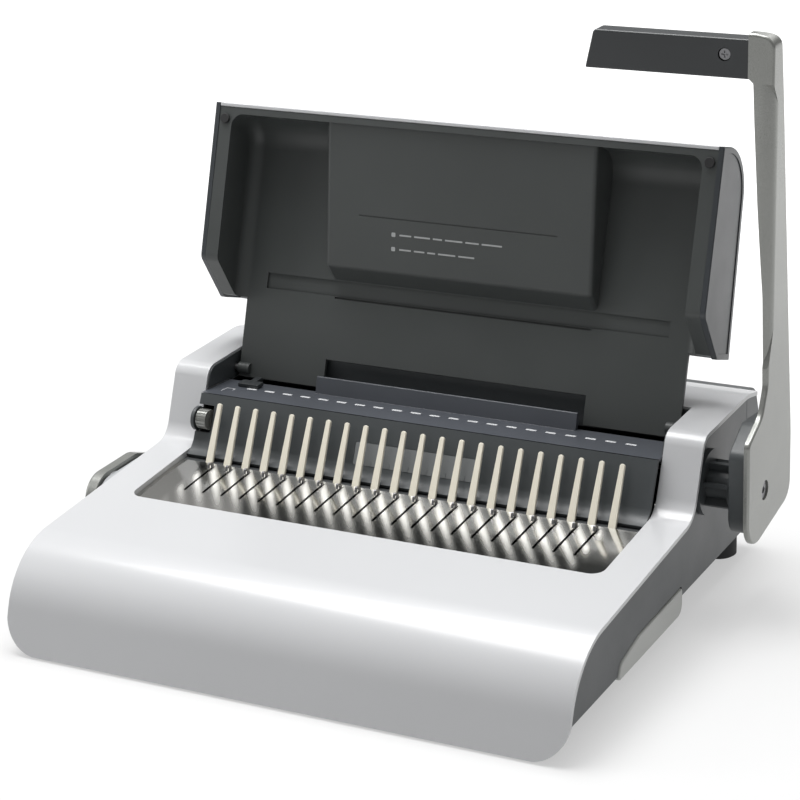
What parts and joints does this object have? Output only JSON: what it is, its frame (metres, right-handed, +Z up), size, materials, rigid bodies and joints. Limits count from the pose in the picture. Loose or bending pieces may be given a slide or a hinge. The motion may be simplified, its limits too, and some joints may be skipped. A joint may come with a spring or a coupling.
{
  "type": "comb binding machine",
  "caption": "Manual desktop punch and plastic comb opener with a raised lid, a pull-down punching handle on the right and a comb lever on the left.",
  "frame": {"origin": "on the standing surface, under the middle of the machine's overall box", "axes": "+X along the machine towards the punching handle, +Y to the back, +Z up"},
  "size_m": [0.46, 0.354, 0.3825],
  "materials": {
    "white_cover": "pearl satin",
    "dark_plastic": "fine grain",
    "strip_plastic": "satin",
    "liner_plastic": "fine grain",
    "grip_plastic": "satin",
    "cap_plastic": "satin",
    "bed_plastic": "satin",
    "drawer_plastic": "smoky satin",
    "window_plastic": "gloss",
    "pale_plastic": "satin",
    "cream_fingers": "satin",
    "silver_paint": "satin silver",
    "polished_steel": "polished",
    "plain_steel": "zinc plated",
    "bush_brass": "plain",
    "black_rubber": "matt"
  },
  "bodies": {
    "casing": {"top_cover": "white_cover", "base_shell": "dark_plastic", "rear_cover": "dark_plastic", "rubber_feet": "black_rubber", "base_screws": "plain_steel", "comb_plate": "polished_steel", "comb_fingers": "cream_fingers", "comb_bed": "bed_plastic", "hook_rails": "plain_steel", "lever_bush": "bush_brass", "lever_boss": "dark_plastic", "front_panel": "dark_plastic", "measure_window": "window_plastic", "throat_strip": "strip_plastic", "die_plate": "plain_steel", "guide_plate": "plain_steel", "paper_stop": "plain_steel", "end_plate_left": "plain_steel", "end_plate_right": "plain_steel", "frame_ties": "plain_steel", "drive_bushes": "bush_brass", "chip_chute": "bed_plastic", "handle_boss": "dark_plastic", "knob_pin": "plain_steel", "lid_hinge_pins": "plain_steel", "throat_guard": "dark_plastic", "cheek_liners": "dark_plastic", "knob_boss": "dark_plastic"},
    "handle": {"drive_shaft": "plain_steel", "drive_pinions": "plain_steel", "handle_arm": "silver_paint", "handle_inner": "dark_plastic", "shaft_screw": "plain_steel", "handle_grip": "grip_plastic", "grip_screw": "plain_steel"},
    "punch": {"punch_bar": "plain_steel", "punch_pins": "plain_steel", "pin_retainer": "plain_steel", "punch_racks": "plain_steel"},
    "lid": {"lid_shell": "white_cover", "lid_liner": "liner_plastic", "lid_end_cap_left": "cap_plastic", "lid_end_cap_right": "cap_plastic", "lid_bumpers": "black_rubber"},
    "comb_lever": {"lever_shaft": "plain_steel", "lever_pinions": "plain_steel", "comb_lever": "silver_paint", "lever_inner": "pale_plastic", "lever_screw": "plain_steel"},
    "hook_carriage": {"hook_bar": "plain_steel", "comb_hooks": "plain_steel", "hook_racks": "plain_steel"},
    "drawer": {"chip_drawer": "drawer_plastic"},
    "guide_knob": {"edge_guide_knob": "silver_paint"},
    "guide_slider": {"edge_guide": "grip_plastic"}
  },
  "joints": [
    {"name": "handle_hinge", "type": "hinge", "parent": "casing", "child": "handle", "pos_m": [0, 0.0745, 0.086], "axis": [1, 0, 0], "range_deg": [0, 90]},
    {"name": "punch_slide", "type": "slide", "parent": "casing", "child": "punch", "axis": [0, -0.9511, 0.309], "range_m": [0, 0.01415]},
    {"name": "lid_hinge", "type": "hinge", "parent": "casing", "child": "lid", "pos_m": [0, 0.0855, 0.115], "axis": [1, 0, 0], "range_deg": [0, 109.3]},
    {"name": "comb_lever_hinge", "type": "hinge", "parent": "casing", "child": "comb_lever", "pos_m": [0, -0.004, 0.043], "axis": [1, 0, 0], "range_deg": [0, 95]},
    {"name": "hook_slide", "type": "slide", "parent": "casing", "child": "hook_carriage", "axis": [0, -1, 0], "range_m": [0, 0.02653]},
    {"name": "drawer_slide", "type": "slide", "parent": "casing", "child": "drawer", "axis": [1, 0, 0], "range_m": [0, 0.3]},
    {"name": "guide_knob_turn", "type": "hinge", "parent": "casing", "child": "guide_knob", "pos_m": [-0.1636, 0.0295, 0.0954], "axis": [1, 0, 0], "range_deg": [0, 180]},
    {"name": "guide_slide", "type": "slide", "parent": "casing", "child": "guide_slider", "axis": [1, 0, 0], "range_m": [0, 0.008]}
  ],
  "couplings": [
    {"joint": "punch_slide", "follows": "handle_hinge", "m_per_rad": 0.009},
    {"joint": "hook_slide", "follows": "comb_lever_hinge", "m_per_rad": 0.016},
    {"joint": "guide_slide", "follows": "guide_knob_turn", "m_per_rad": 0.0025}
  ]
}
